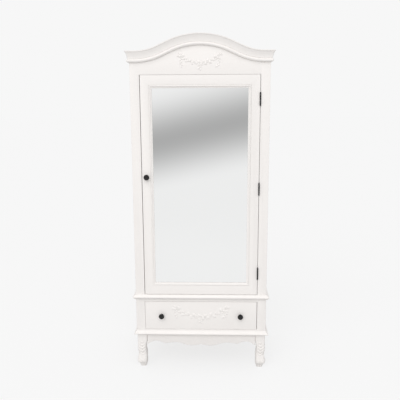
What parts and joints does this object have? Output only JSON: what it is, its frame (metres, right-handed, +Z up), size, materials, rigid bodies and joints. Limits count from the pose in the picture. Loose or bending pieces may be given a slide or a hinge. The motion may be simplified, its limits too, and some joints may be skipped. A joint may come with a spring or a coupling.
{
  "type": "mirrored wardrobe",
  "caption": "Tall single-door wardrobe with a mirrored door, an arched cornice, a drawer below, carved garlands and short curved legs.",
  "frame": {"origin": "on the floor, under the middle of the wardrobe's bounding box", "axes": "+Z up; the front with the door and drawer faces -Y; +X to the right seen from the front, on the hinge side"},
  "size_m": [0.823, 0.529, 1.9699],
  "materials": {
    "white_paint": "satin white brushed paint with softened edges",
    "mirror": "silvered plate glass",
    "black_metal": "black lacquered hinges and turned knobs",
    "chrome": "polished plated steel tube and plates",
    "drawer_wood": "unpainted pine, finely sawn",
    "backing_board": "plain brown hardboard",
    "brown_plastic": "moulded brown plastic"
  },
  "bodies": {
    "carcass": {"side_panel_left": "white_paint", "side_panel_right": "white_paint", "front_stile_left": "white_paint", "front_stile_right": "white_paint", "base_rail": "white_paint", "waist_rail": "white_paint", "top_panel": "white_paint", "cabinet_floor": "white_paint", "dust_panel": "backing_board", "back_panel": "backing_board", "drawer_runner_left": "drawer_wood", "drawer_runner_right": "drawer_wood", "cornice_front": "white_paint", "cornice_left": "white_paint", "cornice_right": "white_paint", "waist_moulding_front": "white_paint", "waist_moulding_left": "white_paint", "waist_moulding_right": "white_paint", "base_moulding_front": "white_paint", "base_moulding_left": "white_paint", "base_moulding_right": "white_paint", "frieze_board": "white_paint", "frieze_carving": "white_paint", "leg_front_left": "white_paint", "leg_front_right": "white_paint", "leg_rear_left": "white_paint", "leg_rear_right": "white_paint", "apron_front": "white_paint", "apron_left": "white_paint", "apron_right": "white_paint", "hanging_rail": "chrome", "rail_socket_left": "chrome", "rail_socket_right": "chrome", "magnetic_catch": "brown_plastic", "frame_hinge_leaf_top": "black_metal", "frame_hinge_leaf_middle": "black_metal", "frame_hinge_leaf_bottom": "black_metal", "hinge_pin_top": "black_metal", "hinge_pin_middle": "black_metal", "hinge_pin_bottom": "black_metal"},
    "door": {"door_stile_left": "white_paint", "door_stile_right": "white_paint", "door_rail_top": "white_paint", "door_rail_bottom": "white_paint", "mirror_moulding": "white_paint", "mirror_glass": "mirror", "mirror_backing": "backing_board", "door_knob": "black_metal", "catch_strike_plate": "chrome", "door_hinge_leaf_top": "black_metal", "door_hinge_leaf_middle": "black_metal", "door_hinge_leaf_bottom": "black_metal"},
    "drawer": {"drawer_front": "white_paint", "drawer_side_left": "drawer_wood", "drawer_side_right": "drawer_wood", "drawer_back": "drawer_wood", "drawer_bottom": "drawer_wood", "drawer_knob_left": "black_metal", "drawer_knob_right": "black_metal", "drawer_carving": "white_paint"}
  },
  "joints": [
    {"name": "door_hinge", "type": "hinge", "parent": "carcass", "child": "door", "pos_m": [0.33495, -0.24, 1.111], "axis": [0, 0, 1], "range_deg": [0, 170]},
    {"name": "drawer_slide", "type": "slide", "parent": "carcass", "child": "drawer", "axis": [0, -1, 0], "range_m": [0, 0.32]}
  ]
}
